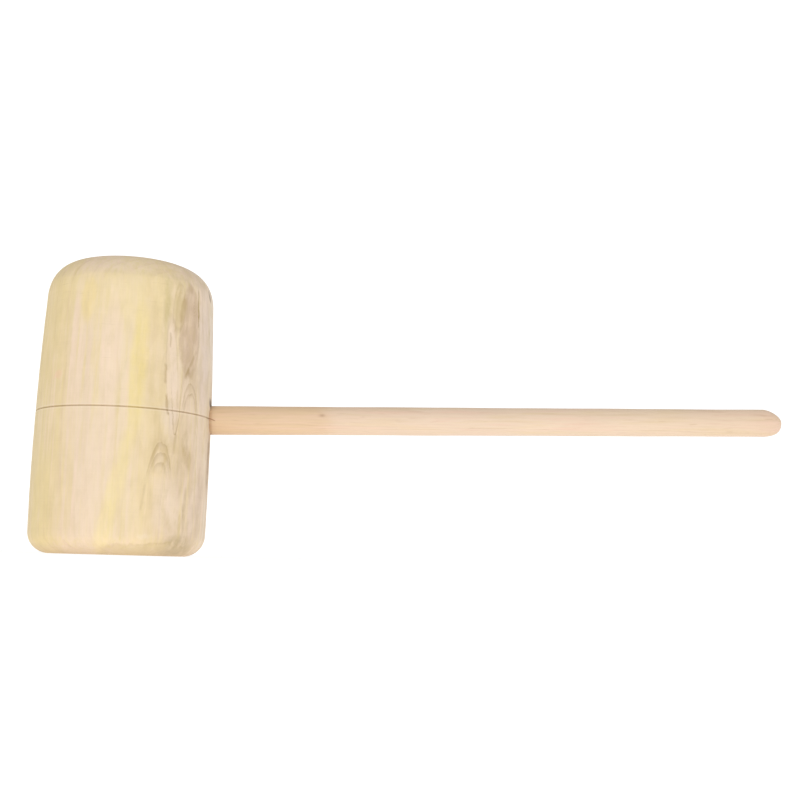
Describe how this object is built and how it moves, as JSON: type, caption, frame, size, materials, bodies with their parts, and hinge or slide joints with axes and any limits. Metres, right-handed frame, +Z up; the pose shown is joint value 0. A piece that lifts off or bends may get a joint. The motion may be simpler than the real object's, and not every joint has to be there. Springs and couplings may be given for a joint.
{
  "type": "wooden mallet",
  "caption": "Large wooden mallet: a turned, dome-topped log head with a flat striking face on a long round dowel handle.",
  "frame": {"origin": "centre of the flat striking face, on which the mallet stands", "axes": "+Z up along the head's axis, away from the striking face; +X out along the handle, which rises 2 degrees above it"},
  "size_m": [0.6603, 0.1468, 0.25],
  "materials": {
    "head_wood": "turned and sanded bare wood, grain along the head's axis",
    "handle_wood": "smooth sanded dowel, grain along the handle",
    "wedge_wood": "trimmed hardwood end grain"
  },
  "bodies": {
    "root": {"mallet_head": "head_wood", "handle": "handle_wood", "eye_wedge": "wedge_wood"}
  },
  "joints": []
}
